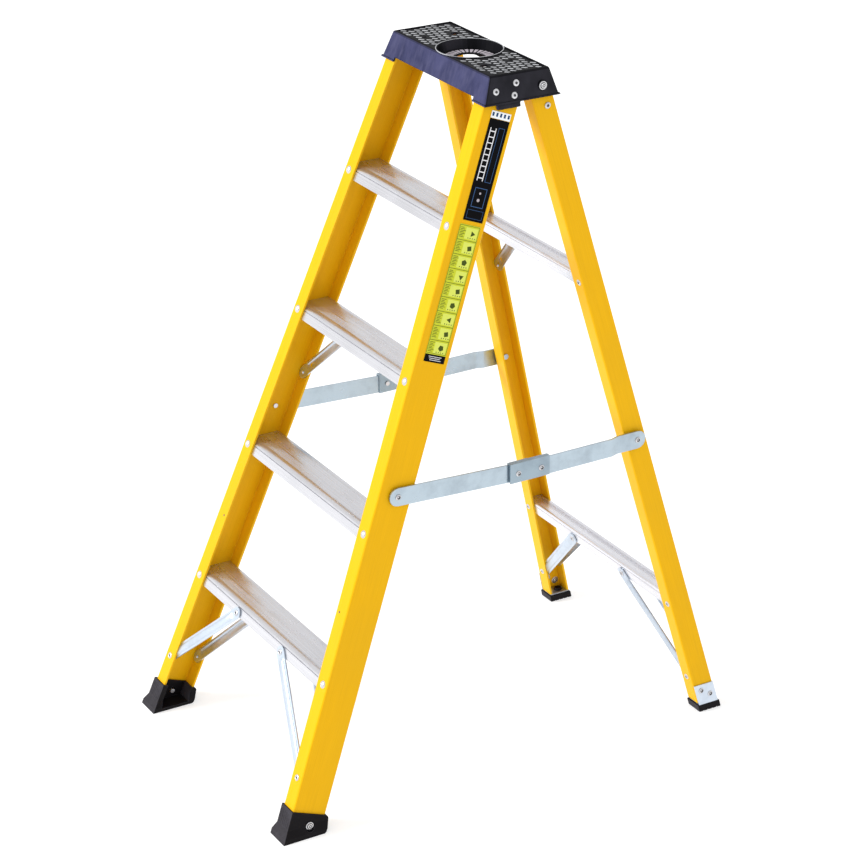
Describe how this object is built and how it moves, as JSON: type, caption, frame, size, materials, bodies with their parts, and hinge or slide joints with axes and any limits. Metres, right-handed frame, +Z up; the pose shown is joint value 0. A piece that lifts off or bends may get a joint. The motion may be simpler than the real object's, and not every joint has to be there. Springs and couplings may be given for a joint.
{
  "type": "step ladder",
  "caption": "Folding step ladder with channel-section stiles, flat ribbed treads, a moulded tray top, hinged side spreaders and rubber feet.",
  "frame": {"origin": "on the floor at the centre of the ladder's footprint, standing open", "axes": "+Z up, +Y the way a climber faces, +X to the climber's right; the treads are on the -Y side"},
  "size_m": [0.5346, 0.8672, 1.1761],
  "materials": {
    "fibreglass": "semi-gloss pultruded fibreglass",
    "aluminium": "mill finish, ribbed",
    "zinc_steel": "bright zinc plate",
    "cap_plastic": "fine moulded texture",
    "rubber": "matte",
    "label_black": "satin film",
    "label_white": "satin film",
    "label_green": "satin film"
  },
  "bodies": {
    "front_frame": {"top_cap": "cap_plastic", "tread_1": "aluminium", "tread_2": "aluminium", "tread_3": "aluminium", "tread_4": "aluminium", "front_stile_left": "fibreglass", "front_stile_right": "fibreglass", "front_boot_left": "rubber", "front_boot_right": "rubber", "boot_bolt_left": "zinc_steel", "boot_bolt_right": "zinc_steel", "hinge_bolt_left": "zinc_steel", "hinge_bolt_right": "zinc_steel", "brace_tread_1_front_left": "zinc_steel", "brace_tread_1_front_right": "zinc_steel", "brace_tread_1_rear_left": "zinc_steel", "brace_tread_1_rear_right": "zinc_steel", "brace_tread_3_rear_left": "zinc_steel", "brace_tread_3_rear_right": "zinc_steel", "cap_rivet_front_left": "zinc_steel", "cap_rivet_front_right": "zinc_steel", "cap_rivet_upper_left": "zinc_steel", "cap_rivet_upper_right": "zinc_steel", "cap_rivet_lower_left": "zinc_steel", "cap_rivet_lower_right": "zinc_steel", "spreader_front_pivot_left": "zinc_steel", "spreader_front_pivot_right": "zinc_steel", "label_scale_strip": "label_white", "label_panel_dark": "label_black", "label_panel_green": "label_green"},
    "rear_frame": {"rear_crossbar_lower": "aluminium", "rear_crossbar_upper": "aluminium", "rear_stile_left": "fibreglass", "rear_stile_right": "fibreglass", "rear_stile_rivet_left": "zinc_steel", "rear_stile_rivet_right": "zinc_steel", "rear_foot_pad_left": "rubber", "rear_foot_pad_right": "rubber", "rear_foot_bracket_left": "zinc_steel", "rear_foot_bracket_right": "zinc_steel", "brace_crossbar_lower_front_left": "zinc_steel", "brace_crossbar_lower_front_right": "zinc_steel", "brace_crossbar_lower_rear_left": "zinc_steel", "brace_crossbar_lower_rear_right": "zinc_steel", "brace_crossbar_upper_rear_left": "zinc_steel", "brace_crossbar_upper_rear_right": "zinc_steel", "spreader_rear_bush_left": "zinc_steel", "spreader_rear_bush_right": "zinc_steel"},
    "spreader_front_left": {"spreader_front_bar_left": "zinc_steel"},
    "spreader_rear_left": {"spreader_rear_bar_left": "zinc_steel", "spreader_knee_clip_left": "zinc_steel", "spreader_knee_pivot_left": "zinc_steel", "spreader_knee_rivet_left": "zinc_steel", "spreader_rear_pivot_left": "zinc_steel"},
    "spreader_front_right": {"spreader_front_bar_right": "zinc_steel"},
    "spreader_rear_right": {"spreader_rear_bar_right": "zinc_steel", "spreader_knee_clip_right": "zinc_steel", "spreader_knee_pivot_right": "zinc_steel", "spreader_knee_rivet_right": "zinc_steel", "spreader_rear_pivot_right": "zinc_steel"}
  },
  "joints": [
    {"name": "fold", "type": "hinge", "parent": "front_frame", "child": "rear_frame", "pos_m": [0, 0.1017, 1.1505], "axis": [-1, 0, 0], "range_deg": [0, 34]},
    {"name": "spreader_front_left_hinge", "type": "hinge", "parent": "front_frame", "child": "spreader_front_left", "pos_m": [0, -0.1914, 0.537], "axis": [1, 0, 0], "range_deg": [0, 98.59]},
    {"name": "spreader_knee_left_hinge", "type": "hinge", "parent": "spreader_front_left", "child": "spreader_rear_left", "pos_m": [0, 0.0291, 0.5283], "axis": [-1, 0, 0], "range_deg": [0, 162.42]},
    {"name": "spreader_front_right_hinge", "type": "hinge", "parent": "front_frame", "child": "spreader_front_right", "pos_m": [0, -0.1914, 0.537], "axis": [1, 0, 0], "range_deg": [0, 98.59]},
    {"name": "spreader_knee_right_hinge", "type": "hinge", "parent": "spreader_front_right", "child": "spreader_rear_right", "pos_m": [0, 0.0291, 0.5283], "axis": [-1, 0, 0], "range_deg": [0, 162.42]}
  ],
  "couplings": [
    {"joint": "spreader_front_left_hinge", "follows": "fold", "ratio": 2.8997},
    {"joint": "spreader_knee_left_hinge", "follows": "fold", "ratio": 4.7769},
    {"joint": "spreader_front_right_hinge", "follows": "fold", "ratio": 2.8997},
    {"joint": "spreader_knee_right_hinge", "follows": "fold", "ratio": 4.7769}
  ]
}
